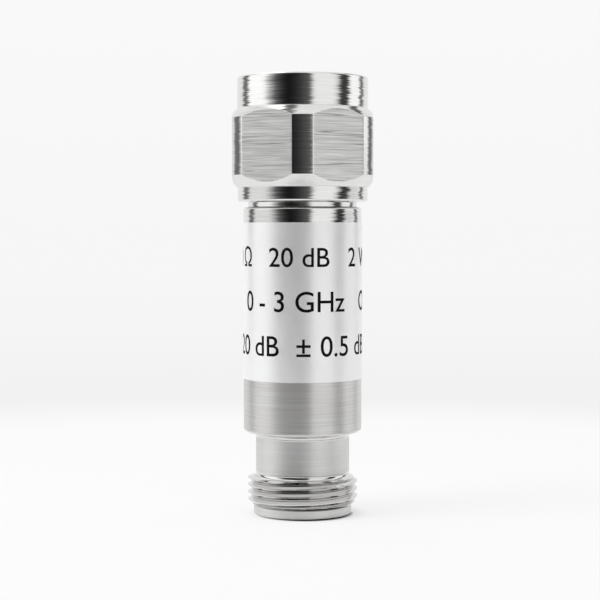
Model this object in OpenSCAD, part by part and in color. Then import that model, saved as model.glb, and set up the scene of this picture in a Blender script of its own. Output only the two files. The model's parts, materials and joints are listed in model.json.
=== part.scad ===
// In-line coaxial attenuator: a plug with a captive hexagonal coupling nut on top, a barrel with a
// wrapped label, and a threaded jack below on whose rim it stands.
// Z runs up the axis from the jack's rim. Sizes are in millimetres.

/* [Coupling nut] */
// Length from the rear face to the front face
nut_len = 17.8; // [17:0.1:20]
// Width of the hexagon across its flats
nut_flats = 20; // [19.6:0.1:21]
// Diameter that the hexagon's corners are turned down to
nut_corners = 21.6; // [21:0.1:22.8]
// Diameter of the round collar behind the hexagon
nut_rear_d = 18.7; // [17.6:0.1:19]
// Length of the round collar behind the hexagon
nut_rear_len = 2.05; // [1:0.05:3]
// Diameter of the round collar in front of the hexagon
nut_front_d = 18.8; // [17.6:0.1:19]
// Length of the round collar in front of the hexagon
nut_front_len = 4.55; // [3:0.05:6]
// Small diameter of the cones that break the hexagon's two ends
nut_cone_d = 19.1; // [19:0.1:19.6]
// Length of the cone at the hexagon's rear end
nut_rear_cone = 1.6; // [0.8:0.1:2.4]
// Length of the cone at the hexagon's front end
nut_front_cone = 1.4; // [0.8:0.1:2.4]
// Minor diameter of the nut's thread
nut_thread_d = 14.75; // [14.7:0.05:15]
// Length of the lead-in cone at the mouth of the thread
nut_lead = 0.6; // [0.3:0.1:1]
// Diameter of the relief groove at the inner end of the thread
nut_relief_d = 16; // [15.8:0.1:16.6]
// Length of the relief groove
nut_relief = 0.9; // [0.6:0.1:1.5]
// Chamfer round the nut's two ends
nut_edge = 0.2; // [0.1:0.05:0.5]
// How far the floor of the nut's cavity lies behind the gasket's seat
nut_floor_drop = 1.2; // [0.6:0.1:1.6]

/* [Plug contacts] */
// Depth of the plug's mating plane inside the nut's front face
plane_recess = 1.8; // [1:0.1:2.4]
// Outside diameter of the slotted outer contact
sleeve_d = 8; // [7.9:0.01:8.05]
// Diameter of the outer contact's root, inside the gasket
sleeve_root_d = 8.4; // [8.2:0.05:8.6]
// Thickness of the outer contact's flange, behind the plug body's front wall
sleeve_flange = 0.8; // [0.5:0.1:1.2]
// Width of the outer contact's slots
sleeve_slot = 0.4; // [0.2:0.05:0.6]
// Length of the outer contact's slots
sleeve_slot_len = 7; // [4:0.5:8]
// Chamfer on the outer contact's front edge
sleeve_edge = 0.2; // [0.1:0.05:0.3]
// Diameter of the centre pin's nose
pin_d = 1.65; // [1.6:0.01:1.68]
// Distance of the pin's shoulder behind the mating plane
pin_shoulder = 5.4; // [5.2:0.1:5.8]
// Reach of the pin's tip in front of the mating plane
pin_reach = 0.9; // [0.4:0.1:1.5]
// Length of the pin's tapered tip
pin_taper = 0.75; // [0.4:0.05:1]
// Diameter of the pin's blunt end
pin_tip_d = 0.7; // [0.4:0.1:1]

/* [Gasket] */
// Thickness of the gasket
gasket_t = 1.6; // [1.2:0.1:2]
// Outside diameter of the gasket
gasket_d = 12.8; // [12:0.1:13]
// How far a mated jack squeezes the gasket
gasket_squeeze = 0.3; // [0.1:0.05:0.5]

/* [Plug body] */
// Length of the bright flange on the barrel's end, with its chamfer
flange_len = 3.25; // [2.5:0.05:5]
// Chamfer on the flange's upper edge
flange_edge = 0.35; // [0.2:0.05:0.6]
// Step from the flange's side in to the neck
neck_step = 0.65; // [0.6:0.05:1.2]
// Length of the neck between the flange and the nut
neck_len = 0.65; // [0.4:0.05:1.5]
// Diameter of the journal that the nut turns on
journal_d = 13; // [12.7:0.1:13.4]
// Thickness of the body's front wall, which holds the outer contact's flange
front_wall = 0.8; // [0.5:0.1:1.2]
// Length of the spigot that goes into the barrel
spigot_len = 7; // [5:0.5:9]

/* [Snap ring] */
// Radial width of the ring's section
ring_w = 0.7; // [0.6:0.05:0.8]
// Thickness of the ring along the axis
ring_t = 0.9; // [0.6:0.1:1.2]
// Gap between the ring's ends
ring_gap = 2; // [1:0.5:4]
// How far the ring reaches into the nut's groove
ring_bite = 0.4; // [0.3:0.05:0.45]

/* [Jack] */
// Diameter of the plain rim below the thread
rim_d = 14.1; // [13.6:0.1:14.4]
// Length of the plain rim
rim_len = 1.25; // [0.8:0.05:2]
// Radius of the rim's rounded lower edge
rim_round = 0.4; // [0.2:0.05:0.6]
// Major diameter of the jack's thread
thread_d = 15.85; // [15.6:0.01:15.87]
// Length of the threaded zone, with its end cones
thread_len = 4.65; // [4.5:0.05:7]
// Length of the cone from the thread in to the shank
thread_back = 0.675; // [0.4:0.025:1.2]
// Diameter of the shank between the thread and the barrel
shank_d = 13.5; // [13:0.1:14.2]
// Length of the shank
shank_len = 6; // [4:0.1:8]
// Radius of the fillet from the shank out to the barrel's shoulder
shank_fillet = 0.5; // [0.2:0.05:0.8]
// Depth of the jack's mating plane above its rim
plane_depth = 9.1; // [8.9:0.05:9.3]
// Diameter of the jack's bore, which takes the outer contact
jack_bore_d = 8.13; // [8.1:0.01:8.2]
// Chamfer at the mouth of the jack's bore
mouth_edge = 0.5; // [0.3:0.05:0.7]
// Reach of the socket's tip in front of the jack's mating plane
contact_reach = 4.8; // [4.75:0.05:5.25]
// Diameter of the socket's bore, which takes the centre pin
socket_d = 1.7; // [1.69:0.01:1.8]
// Depth of the socket's bore
socket_depth = 4.6; // [4:0.1:6]
// Width of the socket's slots
socket_slot = 0.25; // [0.1:0.05:0.3]
// Length of the socket's slots
socket_slot_len = 3.6; // [2:0.1:4]
// Chamfer on the socket's tip, outside and in its bore
socket_edge = 0.15; // [0.05:0.05:0.25]

/* [Line and insulators] */
// Inside diameter of the outer line
line_d = 7; // [6.9:0.05:7.1]
// Diameter of the inner line
core_d = 3.04; // [3:0.01:3.1]
// Diameter of both insulating beads
bead_d = 10; // [9.4:0.1:10.4]
// Length of both insulating beads
bead_len = 3; // [2.4:0.1:3.4]
// Depth of the groove in each centre conductor that its bead snaps into
bead_groove = 0.3; // [0.15:0.05:0.5]
// Length of each bead's lip beside that groove
bead_lip = 0.4; // [0.3:0.05:0.6]
// Wall between the jack bead's seat and the barrel's lower shoulder
bead_wall = 0.6; // [0.5:0.1:2]

/* [Barrel] */
// Diameter of the barrel
barrel_d = 17; // [16.4:0.1:18.4]
// Length of the barrel from its lower shoulder to the flange
barrel_len = 29.1; // [27:0.1:40]
// Radius of the barrel's rounded lower edge
barrel_round = 0.5; // [0.2:0.05:0.8]
// Wall of the barrel round the plug body's spigot
joint_wall = 1.5; // [1.2:0.1:1.7]
// Step from the spigot's bore in to the carrier's bore
core_step = 0.7; // [0.4:0.1:0.9]

/* [Attenuator core] */
// Width of the chip
chip_w = 7; // [6:0.1:9]
// Length of the chip
chip_len = 9; // [7:0.1:10]
// Thickness of the chip
chip_t = 0.8; // [0.5:0.1:1.2]
// Width of the carrier's channel over the chip's film
channel_w = 4.4; // [3.6:0.1:5.4]
// Depth of the channel in each half of the carrier
channel_h = 2.4; // [1.8:0.1:3]
// Width of the ribbons from the chip to the centre conductors
tab_w = 1.2; // [0.8:0.1:1.8]
// Thickness of the ribbons
tab_t = 0.15; // [0.1:0.05:0.3]
// Length of a ribbon's seat on the chip and on the centre conductor
tab_lap = 1.4; // [0.8:0.1:2]
// Gap between the chip's end and a centre conductor
end_gap = 0.3; // [0.1:0.1:0.8]
// Clamped height of the disc spring over the carrier
spring_h = 1; // [0.7:0.1:1.5]
// Thickness of the disc spring
spring_t = 0.35; // [0.2:0.05:0.5]
// Radial width of the disc spring, in from its outer edge on the carrier to the line sleeve
spring_w = 1.75; // [1.2:0.05:2.4]
// Room between the disc spring and the carrier's bore
spring_room = 0.3; // [0.1:0.1:0.6]

/* [Label] */
// Bare length of barrel below the label
label_margin = 7.7; // [3:0.1:12]
// How far the label laps over the flange
label_lap = 1; // [0.2:0.1:2]
// Thickness of the label's film
label_t = 0.06; // [0.04:0.01:0.15]
// Gap between the label's two ends, at the back
label_seam = 0.6; // [0.2:0.1:2]

/* [Fits] */
// Radial clearance of seated pieces
slip = 0.02; // [0.01:0.01:0.03]
// Radial clearance of the nut on its journal
running = 0.05; // [0.02:0.01:0.08]
// Free play of the nut and of the snap ring along the axis
play = 0.1; // [0.05:0.01:0.15]

/* [Hidden] */
$fn = 96;

// Cuts run this far past the face they open
cut = 1;

// Radii of the line, its beads and the bores that hold them
line_r = line_d / 2;
core_r = core_d / 2;
groove_r = core_r - bead_groove;
bead_r = bead_d / 2;
barrel_r = barrel_d / 2;
spigot_r = barrel_r - joint_wall;
carrier_r = spigot_r - core_step;
sleeve_r = sleeve_d / 2;
root_r = sleeve_root_d / 2;

// Heights of the jack and the barrel
thread_z = rim_len;
shank_z = thread_z + thread_len;
barrel_z = shank_z + shank_len;
joint_z = barrel_z + barrel_len;

// Heights of the plug and its nut
neck_z = joint_z + flange_len;
stop_z = neck_z + neck_len;
nut_z = stop_z + play;
nut_top = nut_z + nut_len;
plane_z = nut_top - plane_recess;
gasket_top = plane_z - plane_depth + gasket_squeeze;
seat_z = gasket_top - gasket_t;
nut_floor = seat_z - nut_floor_drop;
ring_z = (nut_z + nut_floor) / 2;

// Heights of the stack inside: jack bead, carrier and chip, spring, line sleeve, plug bead
jack_bead_z = barrel_z + bead_wall;
carrier_z = jack_bead_z + bead_len;
spigot_z = joint_z - spigot_len;
carrier_top = spigot_z - spring_h;
carrier_len = carrier_top - carrier_z;
chip_z = carrier_z + (carrier_len - chip_len) / 2;
chip_top = chip_z + chip_len;
contact_top = chip_z - end_gap;
pin_bottom = chip_top + end_gap;
sleeve_z = seat_z - front_wall;
plug_bead_top = sleeve_z - sleeve_flange;
plug_bead_z = plug_bead_top - bead_len;
land_len = 1.5 * tab_lap;

// Label, from the bare barrel up over the flange
label_z = barrel_z + label_margin;
label_top = joint_z + label_lap;

// Plain tube from z0 to z1
module tube(r_out, r_in, z0, z1) {
    translate([0, 0, z0])
        difference() {
            cylinder(r = r_out, h = z1 - z0);
            translate([0, 0, -cut]) cylinder(r = r_in, h = z1 - z0 + 2 * cut);
        }
}

// Two crossed cuts of the given width from z0 to z1, as wide as reach to each side of the axis
module crossed_slots(width, reach, z0, z1) {
    for (turn = [45, 135])
        rotate(turn)
            translate([-reach, -width / 2, z0])
                cube([2 * reach, width, z1 - z0]);
}

// Space in front of a centre conductor's soldering land, from z0 to z1
module land_cut(z0, z1) {
    translate([-bead_r, -chip_t / 2 - bead_r, z0])
        cube([2 * bead_r, bead_r, z1 - z0]);
}

// Hexagon bar turned down between two collars, with a corner to the front, and bored from both ends
module coupling_nut() {
    rear_r = nut_rear_d / 2;
    front_r = nut_front_d / 2;
    cone_r = nut_cone_d / 2;
    corner_r = nut_corners / 2;
    hex_z = nut_z + nut_rear_len;
    hex_top = nut_top - nut_front_len;
    thread_r = nut_thread_d / 2;
    bore_r = journal_d / 2 + running;
    ring_room_r = bore_r + ring_bite + play;
    color("silver")
        difference() {
            union() {
                intersection() {
                    translate([0, 0, hex_z])
                        rotate(30)
                            cylinder(d = nut_flats / cos(30), h = hex_top - hex_z, $fn = 6);
                    rotate_extrude()
                        polygon([[0, hex_z], [cone_r, hex_z], [corner_r, hex_z + nut_rear_cone],
                                 [corner_r, hex_top - nut_front_cone], [cone_r, hex_top], [0, hex_top]]);
                }
                rotate_extrude()
                    polygon([[0, nut_z], [rear_r - nut_edge, nut_z], [rear_r, nut_z + nut_edge],
                             [rear_r, hex_z + cut], [0, hex_z + cut]]);
                rotate_extrude()
                    polygon([[0, hex_top - cut], [front_r, hex_top - cut], [front_r, nut_top - nut_edge],
                             [front_r - nut_edge, nut_top], [0, nut_top]]);
            }
            translate([0, 0, nut_z - cut])
                cylinder(r = bore_r, h = nut_len);
            translate([0, 0, ring_z - ring_t / 2 - play])
                cylinder(r = ring_room_r, h = ring_t + 2 * play);
            translate([0, 0, nut_floor])
                cylinder(r = thread_r, h = nut_top - nut_floor + cut);
            translate([0, 0, nut_floor])
                cylinder(d = nut_relief_d, h = nut_relief);
            translate([0, 0, nut_top - nut_lead])
                cylinder(r1 = thread_r, r2 = thread_r + nut_lead, h = nut_lead);
            translate([0, 0, nut_z])
                cylinder(r1 = bore_r + nut_edge, r2 = bore_r, h = nut_edge);
        }
}

// Split ring that sits half in the plug body's groove and half in the nut's
module snap_ring() {
    outer_r = journal_d / 2 + running + ring_bite;
    color("darkgoldenrod")
        difference() {
            tube(outer_r, outer_r - ring_w, ring_z - ring_t / 2, ring_z + ring_t / 2);
            translate([-ring_gap / 2, 0, ring_z - ring_t])
                cube([ring_gap, 2 * outer_r, 2 * ring_t]);
        }
}

// Rubber ring on the plug body's front face, round the root of the outer contact
module face_gasket() {
    color("firebrick")
        tube(gasket_d / 2, root_r + slip, seat_z, gasket_top);
}

// Turned body: spigot, flange, neck, journal with its ring groove, and a front wall
module plug_body() {
    journal_r = journal_d / 2;
    neck_r = barrel_r - neck_step;
    ring_groove_r = journal_r - ring_w;
    color("gainsboro")
        difference() {
            rotate_extrude()
                polygon([[0, spigot_z], [spigot_r, spigot_z], [spigot_r, joint_z], [barrel_r, joint_z],
                         [barrel_r, neck_z - flange_edge], [barrel_r - flange_edge, neck_z],
                         [neck_r, neck_z], [neck_r, stop_z], [journal_r, stop_z], [journal_r, seat_z],
                         [0, seat_z]]);
            translate([0, 0, spigot_z - cut])
                cylinder(r = bead_r + slip, h = sleeve_z - spigot_z + cut);
            translate([0, 0, sleeve_z - cut])
                cylinder(r = root_r + slip, h = front_wall + 2 * cut);
            tube(journal_r + cut, ring_groove_r, ring_z - ring_t / 2 - play, ring_z + ring_t / 2 + play);
        }
}

// Springy sleeve with four slots, held by its flange behind the plug body's front wall
module outer_contact() {
    color("goldenrod")
        difference() {
            rotate_extrude()
                polygon([[line_r, plug_bead_top], [bead_r, plug_bead_top], [bead_r, sleeve_z],
                         [root_r, sleeve_z], [root_r, gasket_top], [sleeve_r, gasket_top],
                         [sleeve_r, plane_z - sleeve_edge], [sleeve_r - sleeve_edge, plane_z],
                         [line_r, plane_z]]);
            crossed_slots(sleeve_slot, bead_r, plane_z - sleeve_slot_len, plane_z + cut);
        }
}

// Plug's centre conductor: pin nose, shoulder, bead groove, and a flat land at the chip
module centre_pin() {
    pin_r = pin_d / 2;
    tip_z = plane_z + pin_reach;
    shoulder_z = plane_z - pin_shoulder;
    color("gold")
        difference() {
            rotate_extrude()
                polygon([[0, pin_bottom], [core_r, pin_bottom], [core_r, plug_bead_z + bead_lip],
                         [groove_r, plug_bead_z + bead_lip], [groove_r, plug_bead_top - bead_lip],
                         [core_r, plug_bead_top - bead_lip], [core_r, shoulder_z], [pin_r, shoulder_z],
                         [pin_r, tip_z - pin_taper], [pin_tip_d / 2, tip_z], [0, tip_z]]);
            land_cut(pin_bottom - cut, pin_bottom + land_len);
        }
}

// Insulating bead from z0 up, snapped into its centre conductor's groove
module bead(z0) {
    rib_z = z0 + bead_lip + slip;
    rib_top = z0 + bead_len - bead_lip - slip;
    color("white")
        rotate_extrude()
            polygon([[core_r + slip, z0], [bead_r, z0], [bead_r, z0 + bead_len],
                     [core_r + slip, z0 + bead_len], [core_r + slip, rib_top],
                     [groove_r + slip, rib_top], [groove_r + slip, rib_z], [core_r + slip, rib_z]]);
}

module plug_bead() {
    bead(plug_bead_z);
}

module jack_bead() {
    bead(jack_bead_z);
}

// Tube behind the plug's bead: outer wall of the line, pressed up by the disc spring
module line_sleeve() {
    color("goldenrod")
        tube(bead_r, line_r, spigot_z, plug_bead_z);
}

// Barrel and jack shell turned from one bar, bored from above for the stack and from below for the mate
module barrel() {
    rim_r = rim_d / 2;
    thread_r = thread_d / 2;
    shank_r = shank_d / 2;
    jack_bore_r = jack_bore_d / 2;
    color("darkgray")
        difference() {
            rotate_extrude() {
                polygon([[0, 0], [rim_r - rim_round, 0], [rim_r - rim_round, rim_round], [rim_r, rim_round],
                         [rim_r, thread_z], [thread_r, thread_z + thread_r - rim_r],
                         [thread_r, shank_z - thread_back], [shank_r, shank_z], [shank_r, barrel_z],
                         [barrel_r - barrel_round, barrel_z],
                         [barrel_r - barrel_round, barrel_z + barrel_round],
                         [barrel_r, barrel_z + barrel_round], [barrel_r, joint_z], [0, joint_z]]);
                translate([rim_r - rim_round, rim_round]) circle(r = rim_round);
                translate([barrel_r - barrel_round, barrel_z + barrel_round]) circle(r = barrel_round);
                difference() {
                    translate([shank_r - cut, barrel_z - shank_fillet])
                        square([shank_fillet + cut, shank_fillet + cut]);
                    translate([shank_r + shank_fillet, barrel_z - shank_fillet]) circle(r = shank_fillet);
                }
            }
            translate([0, 0, -cut])
                cylinder(r = jack_bore_r, h = plane_depth + cut);
            cylinder(r1 = jack_bore_r + mouth_edge, r2 = jack_bore_r, h = mouth_edge);
            cylinder(r = line_r, h = jack_bead_z + cut);
            translate([0, 0, jack_bead_z])
                cylinder(r = bead_r + slip, h = joint_z - jack_bead_z + cut);
            translate([0, 0, carrier_z])
                cylinder(r = carrier_r + slip, h = joint_z - carrier_z + cut);
            translate([0, 0, spigot_z - play])
                cylinder(r = spigot_r + slip, h = spigot_len + play + cut);
        }
}

// Film wrapped round the barrel and a little of the flange, with its ends at the back
module wrap_label() {
    inner_r = barrel_r + slip / 2;
    outer_r = inner_r + label_t;
    color("whitesmoke")
        difference() {
            tube(outer_r, inner_r, label_z, label_top);
            translate([-label_seam / 2, 0, label_z - cut])
                cube([label_seam, barrel_d, label_top - label_z + 2 * cut]);
        }
}

// Jack's centre conductor: slotted socket, bead groove, and a flat land at the chip
module jack_contact() {
    socket_r = socket_d / 2;
    tip_z = plane_depth - contact_reach;
    color("gold")
        difference() {
            rotate_extrude()
                polygon([[0, tip_z], [core_r - socket_edge, tip_z], [core_r, tip_z + socket_edge],
                         [core_r, jack_bead_z + bead_lip], [groove_r, jack_bead_z + bead_lip],
                         [groove_r, carrier_z - bead_lip], [core_r, carrier_z - bead_lip],
                         [core_r, contact_top], [0, contact_top]]);
            translate([0, 0, tip_z - cut])
                cylinder(r = socket_r, h = socket_depth + cut);
            translate([0, 0, tip_z])
                cylinder(r1 = socket_r + socket_edge, r2 = socket_r, h = socket_edge);
            crossed_slots(socket_slot, bead_r, tip_z - cut, tip_z + socket_slot_len);
            land_cut(contact_top - land_len, contact_top + cut);
        }
}

// Ceramic chip on edge in the carrier's parting plane
module attenuator_chip() {
    color("ivory")
        translate([-chip_w / 2, -chip_t / 2, chip_z])
            cube([chip_w, chip_t, chip_len]);
}

// Half of the split block that clamps the chip's long edges, on the side that turn sets
module carrier_half(turn) {
    pocket_w = chip_w + 2 * slip;
    pocket_h = chip_t / 2 + slip;
    color("burlywood")
        rotate(turn)
            difference() {
                translate([0, 0, carrier_z]) cylinder(r = carrier_r, h = carrier_len);
                translate([-carrier_r - cut, 0, carrier_z - cut])
                    cube([2 * (carrier_r + cut), carrier_r + cut, carrier_len + 2 * cut]);
                translate([-channel_w / 2, -channel_h, carrier_z - cut])
                    cube([channel_w, channel_h + cut, carrier_len + 2 * cut]);
                translate([-pocket_w / 2, -pocket_h, chip_z - slip])
                    cube([pocket_w, pocket_h + cut, chip_len + 2 * slip]);
            }
}

module chip_carrier_front() {
    carrier_half(0);
}

module chip_carrier_back() {
    carrier_half(180);
}

// Ribbon soldered across from the chip's face to a centre conductor's land, from z0 up
module ribbon(z0) {
    color("lightsteelblue")
        translate([-tab_w / 2, -chip_t / 2 - tab_t, z0])
            cube([tab_w, tab_t, 2 * tab_lap + end_gap]);
}

module plug_tab() {
    ribbon(chip_top - tab_lap);
}

module jack_tab() {
    ribbon(contact_top - tab_lap);
}

// Coned washer between the carrier's top and the line sleeve
module disc_spring() {
    outer_r = carrier_r - spring_room;
    inner_r = outer_r - spring_w;
    low_z = carrier_top + slip;
    high_z = spigot_z - slip;
    color("slategray")
        rotate_extrude()
            polygon([[outer_r, low_z], [outer_r, low_z + spring_t], [inner_r, high_z],
                     [inner_r, high_z - spring_t]]);
}

coupling_nut();
snap_ring();
face_gasket();
plug_body();
outer_contact();
centre_pin();
plug_bead();
line_sleeve();
barrel();
wrap_label();
jack_contact();
jack_bead();
attenuator_chip();
chip_carrier_front();
chip_carrier_back();
plug_tab();
jack_tab();
disc_spring();
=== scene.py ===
import json
import math

import bmesh
import bpy
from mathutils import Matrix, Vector


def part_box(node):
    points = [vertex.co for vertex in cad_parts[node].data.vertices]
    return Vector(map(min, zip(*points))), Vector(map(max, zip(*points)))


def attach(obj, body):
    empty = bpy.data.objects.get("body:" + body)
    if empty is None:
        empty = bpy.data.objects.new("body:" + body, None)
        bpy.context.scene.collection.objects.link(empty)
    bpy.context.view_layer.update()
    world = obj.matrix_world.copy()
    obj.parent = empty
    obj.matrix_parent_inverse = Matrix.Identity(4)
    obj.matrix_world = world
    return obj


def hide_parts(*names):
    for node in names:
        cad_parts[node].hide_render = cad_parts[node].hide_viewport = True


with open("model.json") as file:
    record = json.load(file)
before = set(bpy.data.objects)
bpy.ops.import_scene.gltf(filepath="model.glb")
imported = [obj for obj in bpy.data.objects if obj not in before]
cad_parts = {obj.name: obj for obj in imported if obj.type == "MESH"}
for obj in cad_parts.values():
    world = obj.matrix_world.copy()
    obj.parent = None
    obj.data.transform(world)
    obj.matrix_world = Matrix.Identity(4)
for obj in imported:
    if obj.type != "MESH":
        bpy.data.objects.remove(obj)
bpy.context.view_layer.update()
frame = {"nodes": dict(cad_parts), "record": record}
scene = bpy.context.scene


# Barrel and jack shell
# One bar of stainless steel, turned to shape and bored from both ends, with the jack's thread cut
# on its lower end. The tool leaves a satin finish of fine lines that run round the axis.
mm = 0.001
around = 144
barrel_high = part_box("barrel")[1]
barrel_r = barrel_high.x
barrel_top = barrel_high.z
jack_mount = next(mount for mount in frame["record"]["mounts"] if mount["name"] == "jack_thread")
thread_r = jack_mount["dims"]["r_mm"] * mm
thread_flat = jack_mount["dims"]["length_mm"] * mm
thread_mid = jack_mount["pos_m"][2]
rim_r = 7.05 * mm
rim_round = 0.2 * mm
shank_r = 6.75 * mm
thread_back = 0.675 * mm
shank_foot = 0.3 * mm
thread_low = thread_mid - thread_flat / 2 - (thread_r - rim_r)
thread_high = thread_mid + thread_flat / 2 + thread_back + shank_foot
thread_pitch = 1.058 * mm
thread_depth = 0.62 * mm
thread_crest_share = 0.11
thread_root_share = 0.14
thread_start = 0.73
thread_rows = 40
run_out_power = 4.0
root_shade_depth = 0.15 * mm
root_shade_share = 0.66
shoulder_z = 11.9 * mm
shoulder_round = 0.5 * mm
shank_fillet = 0.8 * mm
slip = 0.02 * mm
spigot_r = 7.0 * mm
spigot_play = 0.1 * mm
line_r = 3.5 * mm
jack_bore_r = 4.065 * mm
jack_bore_top = 9.1 * mm
mouth_edge = 0.5 * mm
barrel_bevel = 0.06 * mm
bevel_from = math.radians(18)
smooth_under = math.radians(50)
weld_dist = 0.001 * mm
thread_weld = 0.0005 * mm
bead_low, bead_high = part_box("jack_bead")
bead_seat_r = bead_high.x + slip
core_bore_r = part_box("chip_carrier_back")[1].x + slip
spigot_bore_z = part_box("plug_body")[0].z - spigot_play


def circle(radius, height):
    """Points round the axis at one radius and height."""
    turns = [math.tau * step / around for step in range(around)]
    return [Vector((radius * math.cos(turn), radius * math.sin(turn), height)) for turn in turns]


def turned_rings(outline):
    """Circles through the points of a turned outline, each given as radius and height."""
    return [circle(*point) for point in outline]


def skin(shell, rings, closed=False):
    """Adds the faces between each ring of points and the next, and returns them ring by ring."""
    loops = [[shell.verts.new(point) for point in ring] for ring in rings]
    if closed:
        loops.append(loops[0])
    strips = []
    for near, far in zip(loops, loops[1:]):
        strip = []
        for i in range(around):
            j = (i + 1) % around
            strip.append(shell.faces.new((near[i], near[j], far[j], far[i])))
        strips.append(strip)
    return strips


def feed(tree, socket, value):
    """Links a node's output to a socket, or sets a plain value there."""
    if isinstance(value, bpy.types.NodeSocket):
        tree.links.new(value, socket)
    else:
        socket.default_value = value


def reckon(tree, operation, *values):
    """Adds a Math node on sockets or plain numbers and returns its result."""
    node = tree.nodes.new("ShaderNodeMath")
    node.operation = operation
    for socket, value in zip(node.inputs, values):
        feed(tree, socket, value)
    return node.outputs[0]


def grade(tree, value, low, high, first=0, last=1):
    """Maps a value between two limits onto another range and holds it at the ends."""
    node = tree.nodes.new("ShaderNodeMapRange")
    names = ("Value", "From Min", "From Max", "To Min", "To Max")
    for name, given in zip(names, (value, low, high, first, last)):
        feed(tree, node.inputs[name], given)
    return node.outputs["Result"]


def split(tree, place):
    """X, Y and Z of a place."""
    node = tree.nodes.new("ShaderNodeSeparateXYZ")
    tree.links.new(place, node.inputs["Vector"])
    return node.outputs


def join(tree, **parts):
    """Place with the X, Y and Z that are given."""
    node = tree.nodes.new("ShaderNodeCombineXYZ")
    for name, value in parts.items():
        feed(tree, node.inputs[name], value)
    return node.outputs["Vector"]


def make_thread_tree():
    """Helical thread between two heights. Below it starts in a cone of 45 degrees. Above it runs out
    over High run, where it comes in by High rise: in a cone at power 1 and in a hollow curve at more.
    Side is 1 for a thread on a shaft and -1 for a thread in a bore."""
    tree = bpy.data.node_groups.new("screw_thread", "GeometryNodeTree")
    tree.interface.new_socket("Geometry", in_out="OUTPUT", socket_type="NodeSocketGeometry")
    for name in ("Around", "Rows", "Rows per turn"):
        tree.interface.new_socket(name, in_out="INPUT", socket_type="NodeSocketInt")
    for name in ("Side", "Start", "Pitch", "Crest radius", "Root radius", "Crest share", "Root share",
                 "Low", "High", "Low radius", "High radius", "High run", "High rise", "High power"):
        tree.interface.new_socket(name, in_out="INPUT", socket_type="NodeSocketFloat")
    tree.interface.new_socket("Metal", in_out="INPUT", socket_type="NodeSocketMaterial")
    nodes = tree.nodes
    link = tree.links.new
    size = nodes.new("NodeGroupInput").outputs

    tall = reckon(tree, "DIVIDE", reckon(tree, "SUBTRACT", size["Rows"], 1), size["Rows per turn"])
    grid = nodes.new("GeometryNodeMeshGrid")
    grid.inputs["Size X"].default_value = 1
    link(tall, grid.inputs["Size Y"])
    link(reckon(tree, "ADD", size["Around"], 1), grid.inputs["Vertices X"])
    link(size["Rows"], grid.inputs["Vertices Y"])

    place = split(tree, nodes.new("GeometryNodeInputPosition").outputs["Position"])
    part = reckon(tree, "ADD", place["X"], 0.5)
    climb = reckon(tree, "ADD", place["Y"], reckon(tree, "DIVIDE", tall, 2))
    turned = reckon(tree, "SUBTRACT", reckon(tree, "ADD", climb, part), 1)
    height = reckon(tree, "MULTIPLY_ADD", turned, size["Pitch"], size["Low"])
    height = reckon(tree, "MINIMUM", reckon(tree, "MAXIMUM", height, size["Low"]), size["High"])

    phase = reckon(tree, "FRACT", reckon(tree, "ADD", climb, size["Start"]))
    wave = reckon(tree, "MULTIPLY", reckon(tree, "ABSOLUTE", reckon(tree, "SUBTRACT", phase, 0.5)), 2)
    crest_from = reckon(tree, "SUBTRACT", 1, size["Crest share"])
    profile = grade(tree, wave, size["Root share"], crest_from, size["Root radius"], size["Crest radius"])

    reach = reckon(tree, "MULTIPLY", profile, size["Side"])
    low_cone = reckon(tree, "MULTIPLY_ADD", size["Low radius"], size["Side"],
                      reckon(tree, "SUBTRACT", height, size["Low"]))
    run_out = reckon(tree, "DIVIDE", reckon(tree, "SUBTRACT", size["High"], height), size["High run"])
    rise = reckon(tree, "MULTIPLY", reckon(tree, "POWER", run_out, size["High power"]), size["High rise"])
    high_cone = reckon(tree, "MULTIPLY_ADD", size["High radius"], size["Side"], rise)
    reach = reckon(tree, "MINIMUM", reach, reckon(tree, "MINIMUM", low_cone, high_cone))
    radius = reckon(tree, "MULTIPLY", reach, size["Side"])
    angle = reckon(tree, "MULTIPLY", part, math.tau)
    point = join(tree, X=reckon(tree, "MULTIPLY", radius, reckon(tree, "COSINE", angle)),
                 Y=reckon(tree, "MULTIPLY", radius, reckon(tree, "SINE", angle)), Z=height)

    shape = nodes.new("GeometryNodeSetPosition")
    link(grid.outputs["Mesh"], shape.inputs["Geometry"])
    link(point, shape.inputs["Position"])
    weld = nodes.new("GeometryNodeMergeByDistance")
    weld.inputs["Distance"].default_value = thread_weld
    link(shape.outputs["Geometry"], weld.inputs["Geometry"])
    realize = nodes.new("GeometryNodeRealizeInstances")
    link(weld.outputs["Geometry"], realize.inputs["Geometry"])
    finish = nodes.new("GeometryNodeSetMaterial")
    link(realize.outputs["Geometry"], finish.inputs["Geometry"])
    link(size["Metal"], finish.inputs["Material"])
    link(finish.outputs["Geometry"], nodes.new("NodeGroupOutput").inputs["Geometry"])
    return tree


thread_tree = make_thread_tree()


def add_object(name, data):
    """New object in the scene."""
    piece = bpy.data.objects.new(name, data)
    scene.collection.objects.link(piece)
    return piece


def plain_mesh(piece):
    """Mesh of an object as its modifiers or its lettering make it."""
    graph = bpy.context.evaluated_depsgraph_get()
    return bpy.data.meshes.new_from_object(piece.evaluated_get(graph))


def cut_thread(name, metal, rows_per_turn, **sizes):
    """Mesh of one thread, made by the thread tree with the sizes given by name."""
    blank = add_object(name, bpy.data.meshes.new(name))
    modifier = blank.modifiers.new("thread", "NODES")
    modifier.node_group = thread_tree
    turns = math.ceil((sizes["high"] - sizes["low"]) / sizes["pitch"]) + 1
    sizes.update(around=around, rows=turns * rows_per_turn + 1, rows_per_turn=rows_per_turn, metal=metal)
    for item in thread_tree.interface.items_tree:
        if item.in_out == "INPUT":
            modifier[item.identifier] = sizes[item.name.lower().replace(" ", "_")]
    wall = plain_mesh(blank)
    bpy.data.objects.remove(blank)
    return wall


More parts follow.
